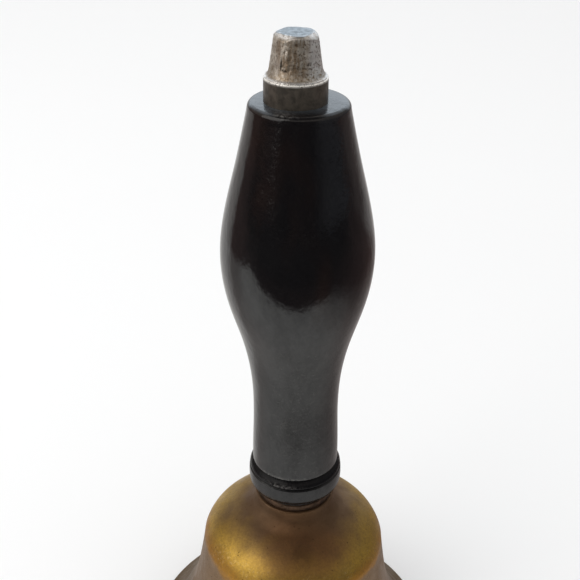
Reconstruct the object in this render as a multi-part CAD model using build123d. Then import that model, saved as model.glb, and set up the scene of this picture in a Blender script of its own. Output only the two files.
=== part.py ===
from build123d import *
import math
import os

# A hand-rung school bell: a cast brass shell with a turned, black-lacquered wooden handle.
# Millimetres. The origin is the centre of the mouth, which the bell stands on, and +Z runs up the handle.

# Bell shell: heights above the mouth and radii from the bell's axis.
MOUTH_RADIUS = 49.8
LIP_ROUND = 0.8
LIP_WIDTH = 3.4
SHOULDER_HEIGHT = 49.4
DOME_CENTRE_HEIGHT = 45.6
DOME_RADIUS = 30.9
DOME_RISE = 19.2
WALL = 3.0
BOSS_RADIUS = 13.0
BOSS_TOP = 68.8
BOSS_EDGE = 0.4
BOSS_FOOT = 66.4
NECK_RADIUS = 17.0
CROWN_FLAT_RADIUS = 8.6
CROWN_UNDERSIDE = 60.4
CROWN_BORE = 3.4

# Handle: heights above the mouth, measured along the handle's own axis.
HANDLE_LEAN = 1.0
SEAT_WASHER_RADIUS = 12.3
FOOT = 71.2
FOOT_RADIUS = 12.0
BAND_RADIUS = 15.0
BAND_BOTTOM = 74.9
BAND_TOP = 79.2
BEAD_RADIUS = 14.75
ARRIS = 83.0
ARRIS_RADIUS = 13.75
WAIST_RADIUS = 13.4
WAIST_HEIGHT = 100.0
BULGE_RADIUS = 22.4
BULGE_HEIGHT = 157.0
WOOD_TOP = 202.3
WOOD_TOP_RADIUS = 13.9
WOOD_TOP_ROUND = 0.7
WOOD_BORE = 3.3

# Top end: a tube ferrule round a tenon that was turned slightly off centre.
TENON_OFFSET = -0.95
TENON_RADIUS = 7.5
TENON_TOP = 205.2
FERRULE_RADIUS = 8.7
FERRULE_BORE = 7.6
FERRULE_TOP = 209.0
FERRULE_EDGE = 0.3
CAP_FLANGE_TOP = 209.2
CAP_BASE_RADIUS = 7.0
CAP_BASE_HEIGHT = 211.7
CAP_TOP_RADIUS = 5.95
CAP_TOP = 220.6
CAP_CHAMFER = 0.9

# Through rod and its fastenings.
ROD_RADIUS = 3.0
ROD_SHOULDER = 53.2
BURR_RADIUS = 6.3
BURR_THICKNESS = 1.4
RIVET_RADIUS = 4.2
RIVET_HEIGHT = 1.8
WASHER_RADIUS = 8.2
WASHER_THICKNESS = 1.4
NUT_ACROSS_FLATS = 10.0
NUT_HEIGHT = 4.4
JOURNAL_RADIUS = 2.4
JOURNAL_BOTTOM = 50.2
SWIVEL_HEAD_RADIUS = 4.0
SWIVEL_HEAD_HEIGHT = 1.6

# Stirrup, pin and clapper.
RUNNING_CLEARANCE = 0.08
LOOSE_CLEARANCE = 0.05
STRAP_THICKNESS = 2.0
STRAP_WIDTH = 8.0
STRAP_TOP = 52.7
STRAP_HALF_SPAN = 7.0
STRAP_BEND = 2.6
PIVOT_HEIGHT = 44.0
PIN_RADIUS = 1.5
PIN_HEAD_RADIUS = 2.6
PIN_HEAD = 1.3
PIN_BURR_RADIUS = 2.9
PIN_BURR_THICKNESS = 0.8
EYE_RADIUS = 4.0
EYE_HALF_WIDTH = 3.8
STEM_TOP_RADIUS = 1.9
STEM_FOOT_RADIUS = 2.4
SPIGOT_RADIUS = 1.8
COLLAR_RADIUS = 3.2
COLLAR_HEIGHT = 1.5
BALL_HEIGHT = 11.5
BALL_RADIUS = 8.5
BALL_FLAT = 7.7
BALL_BURR_RADIUS = 3.2
BALL_BURR_THICKNESS = 0.8
BALL_RIVET_RADIUS = 2.6
BALL_RIVET_HEIGHT = 1.0


def turned(*outline):
    """Revolves a closed outline, drawn as (radius, height), about the Z axis."""
    return revolve(Plane.XZ * make_face(Curve() + list(outline)), axis=Axis.Z)


def disc(radius, bottom, top, hole=0.0, centre=0.0):
    """An upright disc or ring between two heights, its axis at X = centre."""
    ring = Circle(radius) - Circle(hole) if hole else Circle(radius)
    return Pos(centre, 0, bottom) * extrude(ring, top - bottom)


def leaning(solid):
    """Leans a piece of the handle to the left about the middle of the handle's foot."""
    foot = Pos(0, 0, FOOT)
    return foot * Rot(0, -HANDLE_LEAN, 0) * foot.inverse() * solid


def dome_point(radius, rise, height):
    """The radius of a dome of elliptical section at a height above the mouth."""
    return radius * math.sqrt(1 - ((height - DOME_CENTRE_HEIGHT) / rise) ** 2)


def dome_arc(radius, rise, upper, lower):
    """The stretch of a dome's elliptical section between two (radius, height) points."""
    start, end = (
        math.degrees(math.atan2((height - DOME_CENTRE_HEIGHT) / rise, r / radius)) for r, height in (lower, upper)
    )
    return EllipticalCenterArc((0, DOME_CENTRE_HEIGHT), radius, rise, start, arc_size=end - start)


def make_bell_shell():
    """Crown boss, neck fillet, dome, shoulder, waist and flared lip, with the matching inside."""
    neck = (NECK_RADIUS, DOME_CENTRE_HEIGHT + DOME_RISE * math.sqrt(1 - (NECK_RADIUS / DOME_RADIUS) ** 2))
    shoulder = (dome_point(DOME_RADIUS, DOME_RISE, SHOULDER_HEIGHT), SHOULDER_HEIGHT)
    lip_top = (MOUTH_RADIUS - 0.2, LIP_ROUND + 0.9)
    lip_outer = (MOUTH_RADIUS - LIP_ROUND, 0)
    lip_inner = (MOUTH_RADIUS - LIP_WIDTH, 0)
    inner_radius = DOME_RADIUS - WALL
    inner_rise = DOME_RISE - WALL - 0.2
    crown_edge = (
        CROWN_FLAT_RADIUS,
        DOME_CENTRE_HEIGHT + inner_rise * math.sqrt(1 - (CROWN_FLAT_RADIUS / inner_radius) ** 2),
    )
    springing = (inner_radius, DOME_CENTRE_HEIGHT)
    outside = [
        Line((CROWN_BORE, BOSS_TOP), (BOSS_RADIUS - BOSS_EDGE, BOSS_TOP)),
        RadiusArc((BOSS_RADIUS - BOSS_EDGE, BOSS_TOP), (BOSS_RADIUS, BOSS_TOP - BOSS_EDGE), BOSS_EDGE),
        Line((BOSS_RADIUS, BOSS_TOP - BOSS_EDGE), (BOSS_RADIUS, BOSS_FOOT)),
        Spline((BOSS_RADIUS, BOSS_FOOT), neck, tangents=[(0, -1), (0.93, -0.38)]),
        dome_arc(DOME_RADIUS, DOME_RISE, neck, shoulder),
        Spline(
            shoulder, (32.1, 37.0), (34.5, 26.0), (38.5, 15.5), (44.2, 6.6), lip_top,
            tangents=[(0.12, -1), (0.82, -0.57)],
        ),
        Spline(lip_top, (MOUTH_RADIUS, LIP_ROUND), lip_outer, tangents=[(0.3, -1), (-1, -0.1)]),
    ]
    inside = [
        Line(lip_outer, lip_inner),
        Spline(
            lip_inner, (39.0, 8.0), (34.6, 17.0), (31.4, 26.5), (29.2, 36.5), springing,
            tangents=[(-0.75, 0.66), (0, 1)],
        ),
        dome_arc(inner_radius, inner_rise, crown_edge, springing),
        Line(crown_edge, (CROWN_BORE, CROWN_UNDERSIDE)),
        Line((CROWN_BORE, CROWN_UNDERSIDE), (CROWN_BORE, BOSS_TOP)),
    ]
    return turned(*outside, *inside)


def make_seat_washer():
    """Brass washer between the crown boss and the wooden foot."""
    washer = disc(SEAT_WASHER_RADIUS, BOSS_TOP, FOOT, CROWN_BORE)
    rims = washer.edges().filter_by(GeomType.CIRCLE).filter_by(lambda e: e.radius > SEAT_WASHER_RADIUS - 0.1)
    return fillet(rims, 0.5)


def make_handle_grip():
    """Turned handle with a beaded foot, a full grip and a tenon for the ferrule, bored for the rod."""
    below_foot = FOOT - 1.0
    top_edge = (WOOD_TOP_RADIUS - WOOD_TOP_ROUND, WOOD_TOP)
    side_edge = (WOOD_TOP_RADIUS, WOOD_TOP - WOOD_TOP_ROUND)
    outline = [
        Line((0, below_foot), (FOOT_RADIUS, below_foot)),
        Line((FOOT_RADIUS, below_foot), (FOOT_RADIUS, FOOT + 0.6)),
        ThreePointArc(
            (FOOT_RADIUS, FOOT + 0.6), (BAND_RADIUS - 0.9, BAND_BOTTOM - 1.5), (BAND_RADIUS - 0.1, BAND_BOTTOM),
        ),
        ThreePointArc(
            (BAND_RADIUS - 0.1, BAND_BOTTOM), (BAND_RADIUS, BAND_TOP - 2.1), (BAND_RADIUS - 0.1, BAND_TOP),
        ),
        Line((BAND_RADIUS - 0.1, BAND_TOP), (BEAD_RADIUS - 0.55, BAND_TOP + 0.5)),
        Line((BEAD_RADIUS - 0.55, BAND_TOP + 0.5), (BEAD_RADIUS, BAND_TOP + 1.0)),
        ThreePointArc(
            (BEAD_RADIUS, BAND_TOP + 1.0), (BEAD_RADIUS - 0.45, ARRIS - 1.5), (ARRIS_RADIUS - 0.55, ARRIS - 0.5),
        ),
        Line((ARRIS_RADIUS - 0.55, ARRIS - 0.5), (ARRIS_RADIUS, ARRIS)),
        Spline(
            (ARRIS_RADIUS, ARRIS), (WAIST_RADIUS, WAIST_HEIGHT), (14.05, 116.0), (16.85, 130.0), (20.4, 142.0),
            (BULGE_RADIUS, BULGE_HEIGHT), (17.65, 184.0), side_edge,
            tangents=[(0.02, 1), (-0.2, 1)],
        ),
        Spline(side_edge, top_edge, tangents=[(-0.2, 1), (-1, 0.05)]),
        Line(top_edge, (0, WOOD_TOP)),
        Line((0, WOOD_TOP), (0, below_foot)),
    ]
    tenon = disc(TENON_RADIUS, WOOD_TOP - 1, TENON_TOP, centre=TENON_OFFSET)
    bore = disc(WOOD_BORE, below_foot - 1, TENON_TOP + 1)
    square_cut = Pos(0, 0, FOOT) * Box(80, 80, 10, align=(Align.CENTER, Align.CENTER, Align.MAX))
    return leaning(turned(*outline) + tenon - bore) - square_cut


def make_top_ferrule():
    """Steel tube that hoops the tenon and holds the cast cap."""
    tube = disc(FERRULE_RADIUS, WOOD_TOP, FERRULE_TOP, FERRULE_BORE, TENON_OFFSET)
    top_rim = tube.edges().group_by(Axis.Z)[-1].sort_by(SortBy.RADIUS)[-1]
    return leaning(fillet(top_rim, FERRULE_EDGE))


def make_tang_burr():
    """Steel burr on top of the tenon, under the riveted end of the rod."""
    return leaning(disc(BURR_RADIUS, TENON_TOP, TENON_TOP + BURR_THICKNESS, ROD_RADIUS + LOOSE_CLEARANCE))


def rivet_head(radius, height, bottom):
    """A low domed head that stands on a flat face."""
    sphere_radius = (radius**2 + height**2) / (2 * height)
    ball = Pos(0, 0, bottom + height - sphere_radius) * Sphere(sphere_radius)
    return ball & disc(radius, bottom, bottom + height)


def make_tang_rod():
    """One rod through the whole bell: swivel head, journal, threaded shank and riveted top, bent at the foot."""
    head_top = JOURNAL_BOTTOM
    head = Rot(180, 0, 0) * rivet_head(SWIVEL_HEAD_RADIUS, SWIVEL_HEAD_HEIGHT, -head_top)
    journal = disc(JOURNAL_RADIUS, head_top, ROD_SHOULDER)
    shank = disc(ROD_RADIUS, ROD_SHOULDER, FOOT)
    rivet_bottom = TENON_TOP + BURR_THICKNESS
    upper = disc(ROD_RADIUS, FOOT, rivet_bottom) + rivet_head(RIVET_RADIUS, RIVET_HEIGHT, rivet_bottom)
    knee = Pos(0, 0, FOOT) * Sphere(ROD_RADIUS)
    return head + journal + shank + knee + leaning(upper)


def make_finial_cap():
    """White-metal slug cast round the riveted end of the rod: a plug, a flange on the ferrule and a tapering top."""
    plug_radius = FERRULE_BORE - LOOSE_CLEARANCE
    flange_radius = FERRULE_RADIUS - FERRULE_EDGE
    outline = [
        Line((0, TENON_TOP), (plug_radius, TENON_TOP)),
        Line((plug_radius, TENON_TOP), (plug_radius, FERRULE_TOP)),
        Line((plug_radius, FERRULE_TOP), (flange_radius, FERRULE_TOP)),
        Line((flange_radius, FERRULE_TOP), (flange_radius, CAP_FLANGE_TOP)),
        Spline(
            (flange_radius, CAP_FLANGE_TOP), (CAP_BASE_RADIUS, CAP_BASE_HEIGHT), tangents=[(-1, 0.4), (-0.15, 1)]
        ),
        Line((CAP_BASE_RADIUS, CAP_BASE_HEIGHT), (CAP_TOP_RADIUS, CAP_TOP - CAP_CHAMFER)),
        Line((CAP_TOP_RADIUS, CAP_TOP - CAP_CHAMFER), (CAP_TOP_RADIUS - CAP_CHAMFER, CAP_TOP)),
        Line((CAP_TOP_RADIUS - CAP_CHAMFER, CAP_TOP), (0, CAP_TOP)),
        Line((0, CAP_TOP), (0, TENON_TOP)),
    ]
    burr_seat = leaning(disc(BURR_RADIUS, TENON_TOP - 1, TENON_TOP + BURR_THICKNESS))
    return leaning(Pos(TENON_OFFSET, 0, 0) * turned(*outline)) - burr_seat - make_tang_rod()


def make_crown_washer():
    """Steel washer under the crown."""
    return disc(WASHER_RADIUS, CROWN_UNDERSIDE - WASHER_THICKNESS, CROWN_UNDERSIDE, ROD_RADIUS + LOOSE_CLEARANCE)


def make_crown_nut():
    """Hexagon nut that draws the rod, handle and shell together."""
    top = CROWN_UNDERSIDE - WASHER_THICKNESS
    bottom = top - NUT_HEIGHT
    hexagon = extrude(RegularPolygon(NUT_ACROSS_FLATS / 2, 6, major_radius=False), NUT_HEIGHT)
    corner = NUT_ACROSS_FLATS / 2 / math.cos(math.radians(30))
    cone = turned(
        Line((0, bottom), (corner - 0.6, bottom)),
        Line((corner - 0.6, bottom), (corner, bottom + 0.4)),
        Line((corner, bottom + 0.4), (corner, top)),
        Line((corner, top), (0, top)),
        Line((0, top), (0, bottom)),
    )
    return (Pos(0, 0, bottom) * hexagon & cone) - disc(ROD_RADIUS + LOOSE_CLEARANCE, bottom - 1, top + 1)


def across(radius, start, end):
    """A round bar along Y at the clapper's pivot."""
    return Pos(0, start, PIVOT_HEIGHT) * Rot(-90, 0, 0) * extrude(Circle(radius), end - start)


def make_clapper_stirrup():
    """Bent strap that turns on the rod's journal and carries the clapper pin."""
    bottom = PIVOT_HEIGHT - STRAP_WIDTH / 2
    outer = Pos(0, 0, (STRAP_TOP + bottom) / 2) * Box(STRAP_WIDTH, 2 * STRAP_HALF_SPAN, STRAP_TOP - bottom)
    outer = fillet(outer.edges().filter_by(Axis.X).group_by(Axis.Z)[-1], STRAP_BEND)
    inner_span = STRAP_HALF_SPAN - STRAP_THICKNESS
    inner_top = STRAP_TOP - STRAP_THICKNESS
    inner = Pos(0, 0, (inner_top + bottom - 1) / 2) * Box(20, 2 * inner_span, inner_top - bottom + 1)
    inner = fillet(inner.edges().filter_by(Axis.X).group_by(Axis.Z)[-1], STRAP_BEND - STRAP_THICKNESS)
    straight = Pos(0, 0, PIVOT_HEIGHT + 10) * Box(STRAP_WIDTH, 40, 20)
    rounded = straight + across(STRAP_WIDTH / 2, -20, 20)
    strap = (outer - inner) & rounded
    strap -= disc(JOURNAL_RADIUS + RUNNING_CLEARANCE, inner_top - 1, STRAP_TOP + 1)
    return strap - across(PIN_RADIUS + LOOSE_CLEARANCE, -20, 20)


def make_clapper_pin():
    """Rivet across the stirrup: a formed head at one end, hammered over a burr at the other."""
    formed_head = across(PIN_HEAD_RADIUS, -STRAP_HALF_SPAN - PIN_HEAD, -STRAP_HALF_SPAN)
    formed_head = fillet(formed_head.edges().group_by(Axis.Y)[0], 0.7)
    burr_face = STRAP_HALF_SPAN + PIN_BURR_THICKNESS
    shank = across(PIN_RADIUS, -STRAP_HALF_SPAN, burr_face)
    hammered = across(PIN_RADIUS + 0.6, burr_face, burr_face + 0.9)
    hammered = fillet(hammered.edges().group_by(Axis.Y)[-1], 0.6)
    return formed_head + shank + hammered


def make_pin_burr():
    """Small burr under the hammered end of the pin."""
    burr = across(PIN_BURR_RADIUS, STRAP_HALF_SPAN, STRAP_HALF_SPAN + PIN_BURR_THICKNESS)
    return burr - across(PIN_RADIUS + LOOSE_CLEARANCE, 0, 20)


def make_clapper_stem():
    """Forged stem: eye on the pin, tapered shank, collar, and a spigot riveted under the ball."""
    collar_bottom = BALL_HEIGHT + BALL_FLAT
    collar_top = collar_bottom + COLLAR_HEIGHT
    rivet_top = BALL_HEIGHT - BALL_FLAT - BALL_BURR_THICKNESS
    shank_top = PIVOT_HEIGHT - EYE_RADIUS + 0.8
    shank = turned(
        Line((0, rivet_top), (SPIGOT_RADIUS, rivet_top)),
        Line((SPIGOT_RADIUS, rivet_top), (SPIGOT_RADIUS, collar_bottom)),
        Line((SPIGOT_RADIUS, collar_bottom), (COLLAR_RADIUS, collar_bottom)),
        Line((COLLAR_RADIUS, collar_bottom), (COLLAR_RADIUS, collar_top - 0.4)),
        Line((COLLAR_RADIUS, collar_top - 0.4), (STEM_FOOT_RADIUS, collar_top + 0.6)),
        Line((STEM_FOOT_RADIUS, collar_top + 0.6), (STEM_TOP_RADIUS, shank_top)),
        Line((STEM_TOP_RADIUS, shank_top), (0, shank_top)),
        Line((0, shank_top), (0, rivet_top)),
    )
    eye = across(EYE_RADIUS, -EYE_HALF_WIDTH, EYE_HALF_WIDTH)
    eye = fillet(eye.edges().filter_by(GeomType.CIRCLE), 1.0)
    rivet = Rot(180, 0, 0) * rivet_head(BALL_RIVET_RADIUS, BALL_RIVET_HEIGHT, -rivet_top)
    return eye + shank + rivet - across(PIN_RADIUS + RUNNING_CLEARANCE, -20, 20)


def make_clapper_ball():
    """Cast iron ball with flats for the collar and the burr."""
    ball = Pos(0, 0, BALL_HEIGHT) * Sphere(BALL_RADIUS)
    ball &= disc(BALL_RADIUS + 1, BALL_HEIGHT - BALL_FLAT, BALL_HEIGHT + BALL_FLAT)
    return ball - disc(SPIGOT_RADIUS + LOOSE_CLEARANCE, 0, 2 * BALL_HEIGHT)


def make_ball_burr():
    """Burr between the ball and the riveted end of the stem."""
    top = BALL_HEIGHT - BALL_FLAT
    return disc(BALL_BURR_RADIUS, top - BALL_BURR_THICKNESS, top, SPIGOT_RADIUS + LOOSE_CLEARANCE)


PARTS = {
    "bell_shell": make_bell_shell,
    "seat_washer": make_seat_washer,
    "handle_grip": make_handle_grip,
    "top_ferrule": make_top_ferrule,
    "finial_cap": make_finial_cap,
    "tang_burr": make_tang_burr,
    "tang_rod": make_tang_rod,
    "crown_washer": make_crown_washer,
    "crown_nut": make_crown_nut,
    "clapper_stirrup": make_clapper_stirrup,
    "clapper_pin": make_clapper_pin,
    "pin_burr": make_pin_burr,
    "clapper_stem": make_clapper_stem,
    "clapper_ball": make_clapper_ball,
    "ball_burr": make_ball_burr,
}

os.makedirs("parts", exist_ok=True)
for node, make in PARTS.items():
    export_step(make(), f"parts/{node}.step")
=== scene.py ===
import math

import bmesh
import bpy
import numpy as np
from mathutils import Matrix, Vector, noise


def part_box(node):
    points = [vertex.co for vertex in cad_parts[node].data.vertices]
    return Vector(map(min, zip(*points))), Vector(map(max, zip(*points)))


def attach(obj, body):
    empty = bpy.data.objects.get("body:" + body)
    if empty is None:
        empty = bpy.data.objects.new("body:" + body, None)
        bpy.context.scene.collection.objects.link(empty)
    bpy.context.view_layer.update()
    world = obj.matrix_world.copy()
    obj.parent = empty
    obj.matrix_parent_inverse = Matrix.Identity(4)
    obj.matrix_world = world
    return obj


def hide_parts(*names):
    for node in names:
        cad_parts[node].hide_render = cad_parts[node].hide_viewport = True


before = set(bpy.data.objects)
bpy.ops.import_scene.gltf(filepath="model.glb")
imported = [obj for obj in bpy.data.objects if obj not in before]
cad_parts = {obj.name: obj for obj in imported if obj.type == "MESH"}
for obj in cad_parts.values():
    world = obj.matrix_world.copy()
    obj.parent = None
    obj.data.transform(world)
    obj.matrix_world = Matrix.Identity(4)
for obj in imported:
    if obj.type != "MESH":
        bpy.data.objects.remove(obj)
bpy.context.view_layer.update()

# Sizes are in millimetres here, as on a drawing, and are turned into metres when a mesh is made.
MM = 0.001
SEGMENTS = 240

# Places that the CAD pieces give.
BOSS_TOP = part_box("seat_washer")[0].z / MM
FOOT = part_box("seat_washer")[1].z / MM
MOUTH_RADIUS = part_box("bell_shell")[1].x / MM

# The bell's section.
BOSS_RADIUS = 13.0
NECK_RADIUS = 17.0
DOME_CENTRE = 45.6
DOME_RADIUS = 30.9
DOME_RISE = 19.2
SHOULDER = 49.4
WALL = 3.0
BORE = 3.4

# The handle, its ferrule and its cap, on the handle's own leaning axis.
HANDLE_LEAN = math.radians(1.0)
BAND_BOTTOM = 74.9
BAND_TOP = 79.2
BAND_RADIUS = 15.0
BEAD_RADIUS = 14.75
ARRIS = 83.0
ARRIS_RADIUS = 13.75
WOOD_TOP = 202.3
WOOD_TOP_RADIUS = 13.9
TENON_TOP = 205.2
FERRULE_OFFSET = -0.95
FERRULE_RADIUS = 8.7
FERRULE_BORE = 7.6
FERRULE_TOP = 209.0
CAP_FLANGE_RADIUS = 8.25
CAP_BASE_RADIUS = 7.05
CAP_BASE_HEIGHT = 211.7
CAP_TOP_RADIUS = 5.75
CAP_TOP = 220.6


# ---------------------------------------------------------------- outlines and meshes

def spline(points, start, end, steps=14):
    """A smooth curve through the points that leaves and arrives along the given directions."""
    knots = np.array(points, float)
    spans = np.linalg.norm(np.diff(knots, axis=0), axis=1)
    count = len(knots)
    matrix = np.eye(count)
    slopes = np.zeros((count, 2))
    slopes[0] = Vector(start).normalized()
    slopes[-1] = Vector(end).normalized()
    for i in range(1, count - 1):
        before, after = spans[i - 1], spans[i]
        matrix[i, i - 1 : i + 2] = after, 2 * (before + after), before
        back, ahead = knots[i] - knots[i - 1], knots[i + 1] - knots[i]
        slopes[i] = 3 * (after * back / before + before * ahead / after)
    slopes = np.linalg.solve(matrix, slopes)
    curve = []
    for i in range(count - 1):
        for t in np.linspace(0, 1, steps, endpoint=False):
            curve.append(
                (2 * t**3 - 3 * t**2 + 1) * knots[i]
                + (t**3 - 2 * t**2 + t) * spans[i] * slopes[i]
                + (3 * t**2 - 2 * t**3) * knots[i + 1]
                + (t**3 - t**2) * spans[i] * slopes[i + 1]
            )
    curve.append(knots[-1])
    return [tuple(point) for point in curve]


def arc(centre, radii, start, end, steps=12):
    """Points along an arc of a circle or ellipse, between two angles in degrees."""
    angles = [math.radians(start + (end - start) * i / steps) for i in range(steps + 1)]
    return [(centre[0] + radii[0] * math.cos(a), centre[1] + radii[1] * math.sin(a)) for a in angles]


def turned(name, outline, segments=SEGMENTS):
    """A mesh turned about Z from (radius, height) points. An outline clear of the axis makes a ring."""
    rings = []
    for radius, height in outline:
        count = 1 if radius < 1e-6 else segments
        angles = [2 * math.pi * i / segments for i in range(count)]
        rings.append([(radius * math.cos(a), radius * math.sin(a), height) for a in angles])
    return grid_mesh(name, rings)


def grid_mesh(name, rings):
    """A mesh from rings of points in millimetres. It is closed at each end by a ring of one point."""
    mesh = bmesh.new()
    loops = [[mesh.verts.new([c * MM for c in point]) for point in ring] for ring in rings]
    count = max(len(loop) for loop in loops)
    following = loops[1:] if len(loops[0]) == 1 else loops[1:] + loops[:1]
    for lower, upper in zip(loops, following):
        for i in range(count):
            j = (i + 1) % count
            corners = [
                lower[i % len(lower)], lower[j % len(lower)], upper[j % len(upper)], upper[i % len(upper)],
            ]
            mesh.faces.new(list(dict.fromkeys(corners)))
    return finish_mesh(name, mesh)


def finish_mesh(name, mesh):
    """Turns a bmesh into a smooth-shaded object with outward normals and crisp corners."""
    bmesh.ops.recalc_face_normals(mesh, faces=mesh.faces)
    data = bpy.data.meshes.new(name)
    mesh.to_mesh(data)
    mesh.free()
    piece = bpy.data.objects.new(name, data)
    bpy.context.scene.collection.objects.link(piece)
    data.polygons.foreach_set("use_smooth", [True] * len(data.polygons))
    data.set_sharp_from_angle(angle=math.radians(32))
    return piece


def lean(piece):
    """Leans a piece of the handle to the left about the middle of the handle's foot."""
    foot = Matrix.Translation((0, 0, FOOT * MM))
    piece.data.transform(foot @ Matrix.Rotation(-HANDLE_LEAN, 4, "Y") @ foot.inverted())
    return piece


def offset_to_ferrule(piece):
    """Moves a coaxial piece onto the ferrule's axis, a little off the handle's."""
    piece.data.transform(Matrix.Translation((FERRULE_OFFSET * MM, 0, 0)))
    return piece


def place(piece, body, node, slot, *materials):
    """Hangs a finished piece on its body, in place of its CAD node, in its materials."""
    for material in materials:
        piece.data.materials.append(material)
    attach(piece, body)
    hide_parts(node)


def roughen(piece, depth, size, seed, where=lambda height: 1.0):
    """Pushes the surface in by up to depth millimetres, with soft unevenness of the given size."""
    shift = Vector((seed * 7.3, seed * 3.1, seed * 5.7))
    normals = [vertex.normal.copy() for vertex in piece.data.vertices]
    for vertex, normal in zip(piece.data.vertices, normals):
        amount = 0.5 + 0.5 * noise.noise(vertex.co / (size * MM) + shift)
        vertex.co -= normal * (depth * MM * amount * where(vertex.co.z / MM))


def mark(piece, layer_name, amount):
    """Stores a value from 0 to 1 on each point, such as how worn it is, for the materials to read."""
    layer = piece.data.attributes.new(layer_name, "FLOAT", "POINT")
    layer.data.foreach_set("value", [float(amount(vertex.co / MM)) for vertex in piece.data.vertices])


def hill(value, centre, width):
    """A smooth hump of height 1."""
    return np.exp(-(((value - centre) / width) ** 2))


# ---------------------------------------------------------------- material helper

class Graph:
    """A node tree, with short ways to add to it."""

    def __init__(self, tree):
        self.tree = tree

    def add(self, kind, **settings):
        node = self.tree.nodes.new(kind)
        for name, value in settings.items():
            setattr(node, name, value)
        return node

    def feed(self, socket, value):
        """Links an output to a socket, or sets the socket to a constant."""
        if isinstance(value, bpy.types.NodeSocket):
            self.tree.links.new(value, socket)
        else:
            socket.default_value = value

    def split(self, vector):
        """The X, Y and Z outputs of a vector."""
        node = self.add("ShaderNodeSeparateXYZ")
        self.tree.links.new(vector, node.inputs["Vector"])
        return node.outputs["X"], node.outputs["Y"], node.outputs["Z"]

    def remap(self, value, low, high, to_low=0.0, to_high=1.0):
        """Maps low..high smoothly onto to_low..to_high, clamped."""
        node = self.add("ShaderNodeMapRange", interpolation_type="SMOOTHSTEP")
        for name, number in (("From Min", low), ("From Max", high), ("To Min", to_low), ("To Max", to_high)):
            node.inputs[name].default_value = number
        self.feed(node.inputs["Value"], value)
        return node.outputs["Result"]

    def maths(self, operation, first, second=0.0):
        node = self.add("ShaderNodeMath", operation=operation)
        self.feed(node.inputs[0], first)
        self.feed(node.inputs[1], second)
        return node.outputs[0]

    def product(self, *values):
        """The product of several values."""
        result = values[0]
        for value in values[1:]:
            result = self.maths("MULTIPLY", result, value)
        return result

    def mix(self, first, second, factor):
        """Blends two colours by a factor."""
        node = self.add("ShaderNodeMix", data_type="RGBA")
        self.feed(node.inputs["Factor"], factor)
        self.feed(node.inputs["A"], rgba(first))
        self.feed(node.inputs["B"], rgba(second))
        return node.outputs["Result"]


class Finish(Graph):
    """A principled material."""

    def __init__(self, name, roughness=0.5, metallic=0.0, leaning=False):
        self.material = bpy.data.materials.new(name)
        self.material.use_nodes = True
        super().__init__(self.material.node_tree)
        self.shader = self.tree.nodes["Principled BSDF"]
        self.shader.inputs["Roughness"].default_value = roughness
        self.shader.inputs["Metallic"].default_value = metallic
        self.place = self.add("ShaderNodeTexCoord").outputs["Object"]
        if leaning:
            self.stand_upright()

    def stand_upright(self):
        """Makes the coordinates follow the handle's own leaning axis."""
        upright = self.add("ShaderNodeMapping")
        foot = Vector((0, 0, FOOT * MM))
        upright.inputs["Rotation"].default_value = (0, HANDLE_LEAN, 0)
        upright.inputs["Location"].default_value = foot - Matrix.Rotation(HANDLE_LEAN, 3, "Y") @ foot
        self.tree.links.new(self.place, upright.inputs["Vector"])
        self.place = upright.outputs["Vector"]

    def drive(self, socket, value):
        """Drives one of the shader's own sockets."""
        self.feed(self.shader.inputs[socket], value)

    def stretched(self, scale, shift=(0, 0, 0)):
        """Object coordinates, scaled apart along X, Y and Z."""
        mapping = self.add("ShaderNodeMapping")
        mapping.inputs["Scale"].default_value = scale
        mapping.inputs["Location"].default_value = shift
        self.tree.links.new(self.place, mapping.inputs["Vector"])
        return mapping.outputs["Vector"]

    def noise(self, size, detail=4.0, rough=0.55, stretch=(1, 1, 1), shift=0.0, distortion=0.0):
        """Soft random values from 0 to 1, with features about size millimetres across."""
        texture = self.add("ShaderNodeTexNoise")
        texture.inputs["Scale"].default_value = 1 / (size * MM)
        texture.inputs["Detail"].default_value = detail
        texture.inputs["Roughness"].default_value = rough
        texture.inputs["Distortion"].default_value = distortion
        self.feed(texture.inputs["Vector"], self.stretched(stretch, (shift, shift * 0.7, shift * 1.3)))
        return texture.outputs["Fac"]

    def specks(self, spacing, radius, share):
        """1 inside small round specks, on a share of the cells. Spacing and radius are in millimetres."""
        texture = self.add("ShaderNodeTexVoronoi")
        texture.inputs["Scale"].default_value = 1 / (spacing * MM)
        self.feed(texture.inputs["Vector"], self.stretched((1, 1, 1)))
        channels = self.add("ShaderNodeSeparateColor")
        self.tree.links.new(texture.outputs["Color"], channels.inputs["Color"])
        chosen = self.maths("LESS_THAN", channels.outputs["Red"], share)
        spot = self.remap(texture.outputs["Distance"], radius / spacing, 0.5 * radius / spacing)
        return self.maths("MULTIPLY", spot, chosen)

    def millimetres(self):
        """The three coordinates, in millimetres."""
        return [self.maths("MULTIPLY", value, 1 / MM) for value in self.split(self.place)]

    def height(self):
        """Height above the mouth, in millimetres."""
        return self.millimetres()[2]

    def marked(self, layer_name):
        """The values that mark() stored on the mesh under that name."""
        return self.add("ShaderNodeAttribute", attribute_name=layer_name).outputs["Fac"]

    def bump(self, height, depth, normal=None):
        """Adds relief of about depth millimetres, and passes the bumped normal on."""
        node = self.add("ShaderNodeBump")
        node.inputs["Strength"].default_value = 1.0
        node.inputs["Distance"].default_value = depth * MM
        self.feed(node.inputs["Height"], height)
        if normal is not None:
            self.feed(node.inputs["Normal"], normal)
        return node.outputs["Normal"]


def rgba(colour):
    """A colour with its alpha, or a node output as it is."""
    return (*colour, 1.0) if isinstance(colour, tuple) and len(colour) == 3 else colour


# ---------------------------------------------------------------- camera, floor and light

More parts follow.
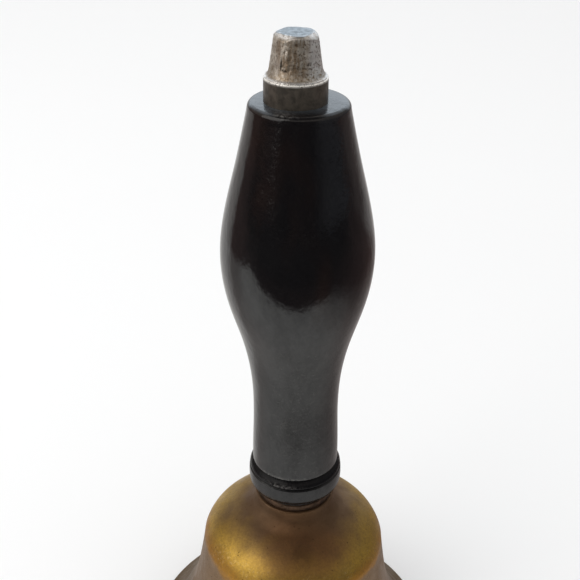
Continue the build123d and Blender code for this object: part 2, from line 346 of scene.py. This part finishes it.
def make_camera():
    """A camera at the photograph's angle: close, and looking about 30 degrees down on the handle."""
    camera_data = bpy.data.cameras.new("camera")
    camera_data.sensor_width = 36.0
    camera_data.lens = 59.05
    camera_data.clip_start = 0.01
    camera = bpy.data.objects.new("camera", camera_data)
    bpy.context.scene.collection.objects.link(camera)
    pitch, yaw, roll = (math.radians(a) for a in (29.81, 0.79, 1.57))
    camera.matrix_world = (
        Matrix.Translation((0, -0.24375, 0.28399))
        @ Matrix.Rotation(yaw, 4, "Z")
        @ Matrix.Rotation(math.pi / 2 - pitch, 4, "X")
        @ Matrix.Rotation(roll, 4, "Z")
    )
    bpy.context.scene.camera = camera


def level_sheet(name, height):
    """A wide level sheet of the studio, with a finish of its own."""
    mesh = bmesh.new()
    bmesh.ops.create_grid(mesh, x_segments=1, y_segments=1, size=3.0)
    sheet = finish_mesh(name, mesh)
    sheet.location.z = height
    finish = Finish(name + "_paper", roughness=0.9)
    sheet.data.materials.append(finish.material)
    return sheet, finish


def make_floor():
    """A plain pale floor."""
    finish = level_sheet("floor", 0)[1]
    finish.drive("Base Color", rgba((0.93, 0.93, 0.93)))


def make_reflected_floor():
    """A second floor that only reflections see, painted with light and shade: a painted pool of light near
    the bell, painted shade in front and to the sides.

    Its places and levels were tuned against the photograph, to imitate the room that the lacquer mirrors.
    """
    sheet, finish = level_sheet("reflected_floor", 0.0004)
    x, y, _ = finish.millimetres()
    # Painted light and shade for reflections: a painted pool of light near the bell, painted light behind it
    # to the left and right, and painted shade, a dim room, in front and further out.
    painted_light_pool = finish.product(
        finish.remap(y, -192, -152),
        finish.remap(x, -450, -350),
        finish.remap(x, 310, 20),
        finish.remap(y, -80, 60, 1.0, 0.38),
    )
    slanted = finish.maths("ADD", y, finish.maths("MULTIPLY", x, 0.364))
    behind_left = finish.product(finish.remap(slanted, -20, 60), finish.remap(x, 60, -60), 0.58)
    behind_right = finish.product(
        finish.remap(y, 250, 420), finish.remap(x, -60, 60), finish.remap(x, 900, 350, 0.1, 0.42),
    )
    # Painted shade: near black in front, dim brown behind.
    room = finish.mix((0.15, 0.09, 0.08), (0.015, 0.015, 0.015), finish.remap(y, 60, -420))
    colour = finish.mix(room, (0.93, 0.93, 0.91), finish.maths("MAXIMUM", behind_left, behind_right))
    finish.drive("Base Color", finish.mix(colour, (0.93, 0.93, 0.91), painted_light_pool))
    sheet.visible_camera = False
    sheet.visible_diffuse = False
    sheet.visible_shadow = False
    sheet.visible_transmission = False


def soft_light(name, direction, distance, size, radiance, colour=(1, 1, 1)):
    """A square soft box that faces the handle from a direction given as (azimuth, elevation)."""
    azimuth, elevation = (math.radians(a) for a in direction)
    aim = Vector((0, 0, 0.1))
    level = math.cos(elevation)
    toward = Vector((math.sin(azimuth) * level, -math.cos(azimuth) * level, math.sin(elevation)))
    data = bpy.data.lights.new(name, "AREA")
    data.size = size
    data.energy = radiance * math.pi * size**2
    data.color = colour
    light = bpy.data.objects.new(name, data)
    light.location = aim + toward * distance
    light.rotation_euler = toward.to_track_quat("Z", "Y").to_euler()
    bpy.context.scene.collection.objects.link(light)


def make_light():
    """Even pale light all round. Reflections see a room, bright behind the bell and dark in front."""
    world = bpy.data.worlds.new("studio")
    world.use_nodes = True
    bpy.context.scene.world = world
    graph = Graph(world.node_tree)
    x, y, z = graph.split(graph.add("ShaderNodeTexCoord").outputs["Generated"])
    height = graph.remap(z, -0.05, 0.35)
    colour = graph.mix((0.025, 0.024, 0.024), (0.46, 0.42, 0.38), graph.remap(z, 0.30, 0.55))
    left = graph.product(graph.remap(x, -0.40, -0.90), graph.remap(z, 1.0, 0.60))
    colour = graph.mix(colour, graph.mix((0.12, 0.075, 0.065), (0.50, 0.46, 0.42), height), left)
    right = graph.product(graph.remap(x, 0.40, 0.90), graph.remap(z, 0.90, 0.45))
    colour = graph.mix(colour, graph.mix((0.15, 0.16, 0.18), (0.36, 0.35, 0.34), height), right)
    behind = graph.product(graph.remap(y, 0.60, 0.90), graph.remap(z, 0.75, 0.35))
    colour = graph.mix(colour, graph.mix((0.5, 0.5, 0.5), (1.45, 1.6, 1.75), height), behind)
    above = graph.product(graph.remap(z, 0.70, 0.88), graph.remap(y, 0.4, 0.0))
    colour = graph.mix(colour, (0.07, 0.065, 0.06), above)
    colour = graph.mix(colour, (0.55, 0.55, 0.55), graph.remap(z, -0.06, -0.25))
    seen = graph.add("ShaderNodeLightPath").outputs["Is Glossy Ray"]
    background = world.node_tree.nodes["Background"].inputs["Color"]
    graph.feed(background, graph.mix((0.95, 0.955, 0.96), colour, seen))
    soft_light("key_left", (-62, 31), 1.3, 1.15, 1.33, (1.0, 0.98, 0.95))


# ---------------------------------------------------------------- materials

def brass_finish():
    """Aged brass: brown crown, golden dome, an orange line at the shoulder, lilac-brown below."""
    finish = Finish("aged_brass", metallic=1.0)
    wander = finish.maths("MULTIPLY", finish.maths("SUBTRACT", finish.noise(12, 5), 0.5), 9.0)
    level = finish.maths("ADD", finish.height(), wander)
    gold = (0.56, 0.355, 0.068)
    crown_brown = (0.175, 0.11, 0.066)
    shoulder_orange = (0.47, 0.235, 0.04)
    waist_lilac = (0.31, 0.205, 0.118)
    flare_brown = (0.16, 0.105, 0.050)
    colour = finish.mix(gold, crown_brown, finish.remap(level, 53.5, 62.5))
    colour = finish.mix(shoulder_orange, colour, finish.remap(level, 49.0, 54.0))
    colour = finish.mix(waist_lilac, colour, finish.remap(level, 46.5, 49.0))
    colour = finish.mix(flare_brown, colour, finish.remap(level, 10.0, 30.0))
    x, y, z = finish.millimetres()
    reddened = finish.product(
        finish.remap(x, -16, -2), finish.remap(x, 24, 10), finish.remap(y, -8, -18), finish.remap(z, 49, 57),
    )
    colour = finish.mix(colour, (0.26, 0.125, 0.055), finish.maths("MULTIPLY", reddened, 0.65))
    blotches = finish.remap(finish.noise(8, 7, 0.65, distortion=0.6), 0.42, 0.72, 0.0, 0.22)
    colour = finish.mix(colour, (0.17, 0.11, 0.06), blotches)
    fine = finish.remap(finish.noise(0.8, 5, 0.75, shift=3.0), 0.35, 0.70, 0.0, 0.42)
    colour = finish.mix(colour, (0.15, 0.09, 0.045), fine)
    flecks = finish.remap(finish.noise(1.0, 6, 0.8, shift=12.0), 0.52, 0.64)
    clustered = finish.remap(finish.noise(10, 4, shift=20.0), 0.42, 0.62)
    flecks = finish.product(flecks, clustered, finish.remap(z, 58.0, 52.0), finish.remap(z, 46.0, 49.0))
    colour = finish.mix(colour, (0.90, 0.70, 0.34), finish.maths("MULTIPLY", flecks, 0.40))
    pits = finish.specks(1.6, 0.28, 0.30)
    colour = finish.mix(colour, (0.09, 0.05, 0.025), finish.maths("MULTIPLY", pits, 0.7))
    finish.drive("Base Color", colour)
    patchy = finish.remap(finish.noise(5, 6), 0.3, 0.7, 0.34, 0.50)
    rough = finish.maths("ADD", patchy, finish.remap(z, 57.0, 64.0, 0.0, 0.18))
    finish.drive("Roughness", finish.maths("SUBTRACT", rough, finish.maths("MULTIPLY", flecks, 0.07)))
    grain = finish.bump(finish.noise(0.6, 4, 0.75), 0.070)
    dents = finish.bump(finish.noise(3.5, 4), 0.05, grain)
    finish.drive("Normal", finish.bump(finish.maths("SUBTRACT", 1.0, pits), 0.03, dents))
    return finish.material


def inside_brass_finish():
    """The inside of the shell: as cast, dull and dark brown, with a grainy skin."""
    finish = Finish("cast_brass_inside", metallic=0.85)
    stains = finish.remap(finish.noise(9, 6, 0.6, distortion=0.5), 0.35, 0.70)
    finish.drive("Base Color", finish.mix((0.36, 0.25, 0.11), (0.17, 0.115, 0.065), stains))
    finish.drive("Roughness", finish.remap(finish.noise(3, 5), 0.3, 0.7, 0.45, 0.62))
    grain = finish.bump(finish.noise(0.7, 4, 0.7), 0.08)
    finish.drive("Normal", finish.bump(finish.noise(5, 3), 0.15, grain))
    return finish.material


def lacquer_finish():
    """Glossy black lacquer on turned wood: deep black above, rubbed and satin towards the foot, with dust and
    a painted sheen on its top and painted highlights at the foot's bead and the top edge.
    """
    finish = Finish("black_lacquer", leaning=True)
    height = finish.height()
    black = (0.0036, 0.0033, 0.0038)
    brown = (0.0075, 0.0045, 0.0040)
    browned = finish.remap(finish.noise(16, 3, 0.5, stretch=(1, 1, 0.35), shift=1.7), 0.45, 0.70)
    colour = finish.mix(black, brown, browned)
    above_arris = finish.remap(height, ARRIS - 1.0, ARRIS + 2.0)
    rubbed = finish.product(finish.remap(height, 150.0, 128.0), above_arris)
    smears = finish.noise(9, 5, 0.6, stretch=(1, 1, 0.45), shift=5.0)
    colour = finish.mix(colour, (0.011, 0.0105, 0.010), finish.maths("MULTIPLY", rubbed, smears))
    speckle = finish.remap(finish.noise(0.9, 5, 0.75, shift=6.0), 0.48, 0.72)
    speckled = finish.product(speckle, finish.maths("ADD", rubbed, 0.15), 0.7)
    colour = finish.mix(colour, (0.030, 0.029, 0.027), speckled)
    # Scuffs, and painted highlights on the bead and the top edge at the front left, lighter where the mesh is
    # marked.
    scratchy = finish.remap(finish.noise(0.8, 5, 0.7), 0.40, 0.62)
    scuffs_and_highlights = finish.maths("MULTIPLY", finish.marked("wear_and_highlight"), scratchy)
    colour = finish.mix(colour, (0.16, 0.15, 0.14), scuffs_and_highlights)
    nibs = finish.specks(6.0, 0.30, 0.10)
    colour = finish.mix(colour, (0.16, 0.16, 0.15), finish.maths("MULTIPLY", nibs, 0.7))
    # Dust and a painted sheen on the wood's top: lighter and bluish at the sides and back, a painted
    # reflection of a bright room behind, and darker in front.
    x, y, _ = finish.millimetres()
    sides = finish.remap(finish.maths("ABSOLUTE", x), 5.0, 9.5)
    sheen_sides_and_back = finish.maths("MAXIMUM", sides, finish.remap(y, -12.5, -3.0))
    dust_and_sheen = finish.product(finish.remap(height, WOOD_TOP - 0.6, WOOD_TOP - 0.1), sheen_sides_and_back)
    dust_and_sheen = finish.maths("MULTIPLY", dust_and_sheen, finish.noise(3, 5, 0.65, shift=9.0))
    colour = finish.mix(colour, (0.105, 0.125, 0.145), dust_and_sheen)
    finish.drive("Base Color", colour)
    gloss = finish.remap(smears, 0.35, 0.65, 0.055, 0.10)
    satin = finish.maths("ADD", gloss, finish.maths("MULTIPLY", rubbed, 0.12))
    satin = finish.maths("ADD", satin, finish.maths("MULTIPLY", dust_and_sheen, 0.20))
    satin = finish.maths("ADD", satin, finish.remap(height, ARRIS + 0.3, ARRIS - 0.5, 0.0, 0.16))
    smudges = finish.remap(finish.noise(6, 7, 0.7, stretch=(1, 1, 0.5), shift=15.0), 0.40, 0.62, 0.52, 0.40)
    below_arris = finish.remap(height, ARRIS, ARRIS - 0.4)
    grime = finish.product(finish.remap(height, BAND_TOP, BAND_TOP + 0.6), below_arris)
    cleaner = finish.remap(grime, 0.0, 1.0, 1.0, 0.30)
    finish.drive("Specular IOR Level", finish.maths("MULTIPLY", smudges, cleaner))
    finish.drive("Roughness", finish.maths("ADD", satin, finish.maths("MULTIPLY", scuffs_and_highlights, 0.35)))
    peel = finish.bump(finish.product(finish.noise(0.8, 4, 0.7), finish.maths("ADD", rubbed, 1.0)), 0.009)
    ripple = finish.bump(finish.noise(4.0, 5, 0.6, stretch=(1, 1, 0.6)), 0.160, peel)
    finish.drive("Normal", finish.bump(nibs, 0.05, ripple))
    return finish.material


def worn_metal(name, colour, dark, bright, roughness, grain, metallic=1.0, leaning=False, sheen=None):
    """A dull metal with stains, a grainy skin, and bright rubbed metal, or a painted highlight, where the
    mesh is marked.
    """
    finish = Finish(name, metallic=metallic, leaning=leaning)
    stains = finish.remap(finish.noise(2.2, 6, 0.65, distortion=0.4), 0.38, 0.66)
    shade = finish.mix(colour, dark, stains)
    if sheen is not None:
        shade = sheen(finish, shade)
    patchy = finish.remap(finish.noise(0.8, 4, 0.7, shift=2.0), 0.30, 0.50)
    bare_or_highlight = finish.maths("MULTIPLY", finish.marked("wear_and_highlight"), patchy)
    finish.drive("Base Color", finish.mix(shade, bright, bare_or_highlight))
    rough = finish.remap(finish.noise(1.2, 5), 0.3, 0.7, roughness - 0.07, roughness + 0.10)
    finish.drive("Roughness", finish.maths("SUBTRACT", rough, finish.maths("MULTIPLY", bare_or_highlight, 0.12)))
    skin = finish.bump(finish.noise(0.45, 4, 0.7), grain)
    finish.drive("Normal", finish.bump(finish.noise(2.0, 3), 2.0 * grain, skin))
    return finish.material


def cap_shades(finish, shade):
    """Adds the cap's bluish top, which is a painted reflection of a pale sky, brown streaked front, pale
    right side, pits, the crust at its foot, and the dirt and painted shade in its marks.
    """
    x, _, height = finish.millimetres()
    streaks = finish.remap(finish.noise(0.8, 4, 0.6, stretch=(1, 1, 0.12), shift=4.0), 0.38, 0.62)
    browned = finish.product(streaks, finish.remap(x, 2.6, 0.6), finish.remap(x, -6.5, -4.0), 0.75)
    shade = finish.mix(shade, (0.25, 0.17, 0.10), browned)
    shade = finish.mix(shade, (0.72, 0.74, 0.74), finish.remap(x, 1.8, 3.4, 0.0, 0.55))
    crust = finish.remap(finish.noise(0.7, 5), 0.48, 0.62)
    crust = finish.maths("MULTIPLY", finish.remap(height, 212.4, 210.4), crust)
    shade = finish.mix(shade, (0.36, 0.29, 0.21), crust)
    pits = finish.remap(finish.noise(0.6, 4, 0.75, shift=8.0), 0.52, 0.62)
    shade = finish.mix(shade, (0.10, 0.07, 0.045), finish.maths("MULTIPLY", pits, 0.85))
    # Dirt and painted shade in the marks: darker where the marks are deep.
    shade = finish.mix(shade, (0.035, 0.028, 0.022), finish.marked("dirt_and_painted_shade"))
    # The bluish grey top is a painted reflection of a pale sky, not the metal's own colour.
    painted_reflection_clouds = finish.remap(finish.noise(1.6, 6, 0.7), 0.45, 0.62)
    top = finish.mix((0.34, 0.39, 0.43), (0.20, 0.23, 0.26), painted_reflection_clouds)
    return finish.mix(shade, top, finish.remap(height, CAP_TOP - 0.35, CAP_TOP - 0.10))


# ---------------------------------------------------------------- the bell

def bell_outline():
    """The shell's section, as the outside from boss to lip and the inside from lip to crown."""
    neck_angle = math.degrees(math.acos(NECK_RADIUS / DOME_RADIUS))
    shoulder_angle = math.degrees(math.asin((SHOULDER - DOME_CENTRE) / DOME_RISE))
    outside_dome = arc((0, DOME_CENTRE), (DOME_RADIUS, DOME_RISE), neck_angle, shoulder_angle, 40)
    inner_radii = (DOME_RADIUS - WALL, DOME_RISE - WALL - 0.2)
    inside_dome = arc((0, DOME_CENTRE), inner_radii, 0, math.degrees(math.acos(8.6 / inner_radii[0])), 24)
    lip_top = (MOUTH_RADIUS - 0.2, 1.7)
    outside = (
        [(BORE, BOSS_TOP)]
        + arc((BOSS_RADIUS - 0.4, BOSS_TOP - 0.4), (0.4, 0.4), 90, 0, 5)
        + spline([(BOSS_RADIUS, 66.4), outside_dome[0]], (0, -1), (0.93, -0.38))
        + outside_dome[1:]
        + spline(
            [outside_dome[-1], (32.1, 37.0), (34.5, 26.0), (38.5, 15.5), (44.2, 6.6), lip_top],
            (0.12, -1), (0.82, -0.57),
        )[1:]
        + spline([lip_top, (MOUTH_RADIUS, 0.8), (MOUTH_RADIUS - 0.8, 0)], (0.3, -1), (-1, -0.1), 5)[1:]
    )
    inside = (
        spline(
            [(MOUTH_RADIUS - 3.4, 0), (39.0, 8.0), (34.6, 17.0), (31.4, 26.5), (29.2, 36.5), inside_dome[0]],
            (-0.75, 0.66), (0, 1),
        )
        + inside_dome[1:]
        + [(BORE, inside_dome[-1][1])]
    )
    return outside, inside


def make_bell():
    outside, inside = bell_outline()
    bell = turned("bell", outside + inside)
    inner_faces = len(outside) * SEGMENTS
    for index, face in enumerate(bell.data.polygons):
        face.material_index = 1 if index >= inner_faces else 0
    roughen(bell, 0.08, 11.0, 1, where=lambda height: float(1 < height < 66))
    place(bell, "bell", "bell_shell", "bell_brass", brass_finish(), inside_brass_finish())


def make_seat_washer():
    """The tarnished washer under the foot, with a painted highlight on the front of its edge."""
    rim = 12.3
    outline = (
        [(BORE, BOSS_TOP)]
        + arc((rim - 0.2, BOSS_TOP + 0.2), (0.2, 0.2), -90, 0, 4)
        + arc((rim - 0.5, FOOT - 0.5), (0.5, 0.5), 0, 90, 6)
        + [(BORE, FOOT)]
    )
    washer = turned("seat_ring", outline)
    roughen(washer, 0.10, 3.0, 2)
    # The bright mark on the front of the edge is a painted highlight.
    mark(washer, "wear_and_highlight", lambda point: 0.8 * hill(point.z, BOSS_TOP + 1.2, 0.4) * hill(point.x, -3, 6))
    material = worn_metal(
        "tarnished_brass", (0.11, 0.068, 0.045), (0.045, 0.030, 0.022), (0.45, 0.34, 0.24), 0.36, 0.03,
    )
    place(washer, "bell", "seat_washer", "washer_brass", material)


# ---------------------------------------------------------------- the handle and its end

def handle_outline():
    """The turned handle's section: foot band, groove, bead, quirk, grip, top edge, tenon and bore."""
    foot_radius, bore, tenon = 12.0, 3.3, 6.5
    side_edge = (WOOD_TOP_RADIUS + 0.03, WOOD_TOP - 1.2)
    top_edge = (WOOD_TOP_RADIUS - 1.3, WOOD_TOP)
    return (
        [(bore, FOOT), (foot_radius, FOOT)]
        + spline(
            [
                (foot_radius, FOOT + 0.6),
                (BAND_RADIUS - 0.9, BAND_BOTTOM - 1.5),
                (BAND_RADIUS - 0.1, BAND_BOTTOM),
            ],
            (0.3, 1), (0.2, 1), 6,
        )
        + spline(
            [(BAND_RADIUS - 0.1, BAND_BOTTOM), (BAND_RADIUS, BAND_TOP - 2.1), (BAND_RADIUS - 0.1, BAND_TOP)],
            (0.1, 1), (-0.1, 1), 5,
        )[1:]
        + [(BEAD_RADIUS - 0.55, BAND_TOP + 0.5)]
        + spline(
            [
                (BEAD_RADIUS, BAND_TOP + 1.0),
                (BEAD_RADIUS - 0.45, ARRIS - 1.5),
                (ARRIS_RADIUS - 0.55, ARRIS - 0.5),
            ],
            (0, 1), (-1, 0.7), 6,
        )
        + spline(
            [
                (ARRIS_RADIUS, ARRIS), (13.4, 100.0), (14.05, 116.0), (16.85, 130.0), (20.4, 142.0),
                (22.4, 157.0), (17.65, 184.0), side_edge,
            ],
            (0.02, 1), (-0.2, 1), 16,
        )
        + spline([side_edge, top_edge], (-0.2, 1), (-1, 0.05), 8)[1:]
        + [(tenon, WOOD_TOP), (tenon, TENON_TOP), (bore, TENON_TOP)]
    )


def handle_wear_and_highlights(point):
    """Wear on the turned edges, heaviest on the left, along the arris and the band's lower rim, and painted
    highlights on the bead and on the top edge at the front left, scratched on the bead.
    """
    side = 0.55 - 0.45 * point.x / BAND_RADIUS
    return side * (
        0.9 * hill(point.z, ARRIS + 0.1, 0.25)
        + 0.8 * hill(point.z, BAND_TOP + 1.5, 0.6) * hill(point.x, -4, 4.5)
        + 0.25 * hill(point.z, BAND_BOTTOM, 0.3)
    ) + 0.5 * hill(point.z, WOOD_TOP - 0.15, 0.2) * hill(point.x, -4, 3)


def make_handle():
    handle = turned("handle", handle_outline())
    roughen(handle, 0.10, 14.0, 3, where=lambda height: float(ARRIS + 2 < height < WOOD_TOP - 2))
    mark(handle, "wear_and_highlight", handle_wear_and_highlights)
    place(lean(handle), "bell", "handle_grip", "lacquered_wood", lacquer_finish())


def make_ferrule():
    """The tube ferrule, a little battered, its top rim rubbed bright."""
    rows = [(FERRULE_RADIUS, WOOD_TOP + (FERRULE_TOP - 0.4 - WOOD_TOP) * i / 16) for i in range(17)]
    outline = (
        [(FERRULE_BORE, WOOD_TOP)]
        + rows
        + arc((FERRULE_RADIUS - 0.35, FERRULE_TOP - 0.35), (0.35, 0.35), 10, 90, 6)
        + [(FERRULE_BORE, FERRULE_TOP)]
    )
    ferrule = turned("ferrule", outline)
    roughen(ferrule, 0.10, 4.0, 4)
    mark(ferrule, "wear_and_highlight", lambda point: float(np.clip((point.z - FERRULE_TOP + 0.55) / 0.35, 0, 1)))
    material = worn_metal(
        "dull_steel", (0.085, 0.070, 0.055), (0.045, 0.038, 0.030), (0.92, 0.88, 0.82), 0.42, 0.02,
        metallic=0.5, leaning=True,
    )
    place(lean(offset_to_ferrule(ferrule)), "bell", "top_ferrule", "ferrule_steel", material)


# Facets filed on the cap: the angle that each faces, in degrees to the right of the front.
CAP_FACETS = (-62, -8, 50, 112, 170, 236)
FACET_DEPTH = 0.34

# Marks on the cap: angle, height, half width, half height and depth. A negative depth stands proud.
CAP_MARKS = (
    (-34, 213.3, 0.17, 1.4, 0.28),
    (-23, 211.9, 0.95, 0.24, 0.32),
    (30, 213.4, 0.45, 0.40, 0.30),
    (23, 212.6, 0.70, 0.22, 0.18),
    (-19, 215.4, 0.35, 3.0, -0.12),
    (-52, 215.0, 0.35, 0.35, 0.20),
    (140, 214.6, 0.90, 1.20, 0.22),
    (205, 216.8, 0.50, 0.60, 0.20),
    (-110, 217.4, 0.90, 0.50, 0.18),
)

# Where the cap's top edge is filed off most: angle, spread and how far down, in millimetres.
CAP_CHAMFERS = (
    (-40, 30, 0.9),
    (66, 30, 0.8),
    (160, 40, 0.5),
    (-120, 30, 0.5),
)


def turn_between(angle, centre):
    """The signed angle in degrees from one bearing to another."""
    return (angle - centre + 180) % 360 - 180


def faceted(angle):
    """How far the facets cut inside the round at a bearing, as a share of the radius."""
    nearest = min(abs(turn_between(angle, facet)) for facet in CAP_FACETS)
    return FACET_DEPTH * (1 - math.cos(math.radians(30)) / math.cos(math.radians(min(nearest, 30))))


def cap_relief(angle, radius, height):
    """Depth of the hammer marks, nicks, streaks and pits at a place on the cap's side."""
    depth = 0.0
    for centre, level, across, along, amount in CAP_MARKS:
        offset = math.radians(turn_between(angle, centre)) * radius
        depth += amount * hill(offset, 0, across) * hill(height, level, along)
    spot = Vector((math.sin(math.radians(angle)), math.cos(math.radians(angle)), 0)) * radius
    streak = noise.noise(Vector((spot.x / 0.7, spot.y / 0.7, height / 7.0)))
    streak *= 0.3 + hill(turn_between(angle, -20), 0, 40)
    pitting = noise.fractal(Vector((spot.x, spot.y, height)) / 1.1, 1.0, 2.0, 4)
    return depth + 0.05 * streak + 0.07 * max(pitting, -0.3)


def make_cap():
    """The cast plug: a ragged flange over the ferrule, a flare, filed and hammered sides and a flat top."""
    plug, rows, count = FERRULE_BORE - 0.1, 60, 360
    flange, base, top = CAP_FLANGE_RADIUS, CAP_BASE_RADIUS, CAP_TOP_RADIUS
    rise = CAP_TOP - CAP_BASE_HEIGHT
    shares = (0.97, 0.94, 0.91, 0.88, 0.85, 0.8, 0.7, 0.55, 0.35, 0.15, 0)
    outline = (
        [(0, TENON_TOP), (plug, TENON_TOP), (plug, FERRULE_TOP - 0.02), (flange, FERRULE_TOP)]
        + spline([(flange, FERRULE_TOP + 0.25), (base, CAP_BASE_HEIGHT)], (-1, 0.35), (-0.12, 1), 12)
        + [(base + (top - base) * i / rows, CAP_BASE_HEIGHT + rise * i / rows) for i in range(1, rows + 1)]
        + [(top * share, CAP_TOP) for share in shares]
    )
    rings = []
    for radius, height in outline:
        ring = []
        for i in range(count if radius > 0 else 1):
            angle = 360 * i / count
            ring.append(cap_point(angle, radius, height))
        rings.append(ring)
    cap = grid_mesh("cap", rings)
    mark(cap, "wear_and_highlight", cap_wear)
    mark(cap, "dirt_and_painted_shade", cap_dirt_and_shade)
    material = worn_metal(
        "cast_white_metal", (0.60, 0.55, 0.48), (0.32, 0.26, 0.20), (0.97, 0.96, 0.95), 0.40, 0.06,
        metallic=0.85, leaning=True, sheen=cap_shades,
    )
    place(lean(offset_to_ferrule(cap)), "bell", "finial_cap", "white_metal", material)


def cap_chamfer(angle):
    """How far down the top edge is filed at a bearing."""
    cut = 0.45 + 0.12 * noise.noise(Vector((angle / 14, 0.5, 0)))
    for centre, spread, amount in CAP_CHAMFERS:
        cut += amount * hill(turn_between(angle, centre), 0, spread)
    return cut


def cap_point(angle, radius, height):
    """A point of the cap's surface, in millimetres, for a bearing to the right of the front."""
    if height > FERRULE_TOP + 0.1 and radius > 0:
        side = min(max((height - 210.6) / 1.6, 0), 1)
        radius -= radius * faceted(angle) * side
        if height < CAP_TOP:
            radius -= cap_relief(angle, radius, height) * (0.35 + 0.65 * side)
        else:
            spot = Vector((radius * math.cos(math.radians(angle)), radius, angle / 40))
            height -= 0.05 + 0.05 * noise.noise(spot)
        edge = CAP_TOP_RADIUS * (1 - faceted(angle)) + CAP_TOP - cap_chamfer(angle)
        excess = max(radius + height - edge, 0)
        radius -= 0.55 * excess
        height -= 0.45 * excess
    elif radius > 8 and height >= FERRULE_TOP:
        radius += 0.15 * noise.noise(Vector((angle / 9, 3.3, 0)))
    bearing = math.radians(angle)
    return radius * math.sin(bearing), -radius * math.cos(bearing), height


def cap_wear(point):
    """Bare metal along the filed top edge, most at the left and right, and on the rim of the flange."""
    radius = math.hypot(point.x, point.y)
    angle = math.degrees(math.atan2(point.x, -point.y))
    filed = 0.2 + 1.2 * hill(turn_between(angle, -40), 0, 30) + hill(turn_between(angle, 68), 0, 30)
    edge = hill(point.z, CAP_TOP - 0.45, 0.48) * (radius > 4.4) * filed
    rim = hill(point.z, FERRULE_TOP + 0.1, 0.35) * (radius > 7.7)
    return min(1.0, edge + rim)


def cap_dirt_and_shade(point):
    """Dirt and painted shade in the deeper marks, and along the inner edge of the filed chamfer at the front
    left of the top.
    """
    radius = math.hypot(point.x, point.y)
    angle = math.degrees(math.atan2(point.x, -point.y))
    darkening = 0.0
    for centre, level, across, along, amount in CAP_MARKS:
        offset = math.radians(turn_between(angle, centre)) * radius
        darkening += max(amount, 0) / 0.34 * hill(offset, 0, across) * hill(point.z, level, along) * (radius > 5)
    darkening += 0.9 * hill(radius, 4.35, 0.18) * hill(turn_between(angle, -46), 0, 24) * (point.z > CAP_TOP - 1)
    return min(1.0, darkening)


def dress_hardware():
    """Gives the CAD pieces that stay their materials."""
    iron = worn_metal(
        "blackened_iron", (0.15, 0.14, 0.13), (0.075, 0.062, 0.052), (0.4, 0.38, 0.36), 0.48, 0.05,
        metallic=0.7,
    )
    steel = worn_metal(
        "dark_steel", (0.34, 0.32, 0.30), (0.17, 0.145, 0.12), (0.5, 0.49, 0.47), 0.38, 0.02,
        metallic=0.85,
    )
    finishes = {
        iron: ("clapper_stirrup", "clapper_stem", "clapper_ball"),
        steel: ("tang_burr", "tang_rod", "crown_washer", "crown_nut", "clapper_pin", "pin_burr", "ball_burr"),
    }
    for material, nodes in finishes.items():
        for node in nodes:
            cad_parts[node].data.materials.clear()
            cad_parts[node].data.materials.append(material)


make_camera()
make_floor()
make_reflected_floor()
make_light()
make_bell()
make_seat_washer()
make_handle()
make_ferrule()
make_cap()
dress_hardware()
bpy.context.scene.view_settings.view_transform = "Standard"
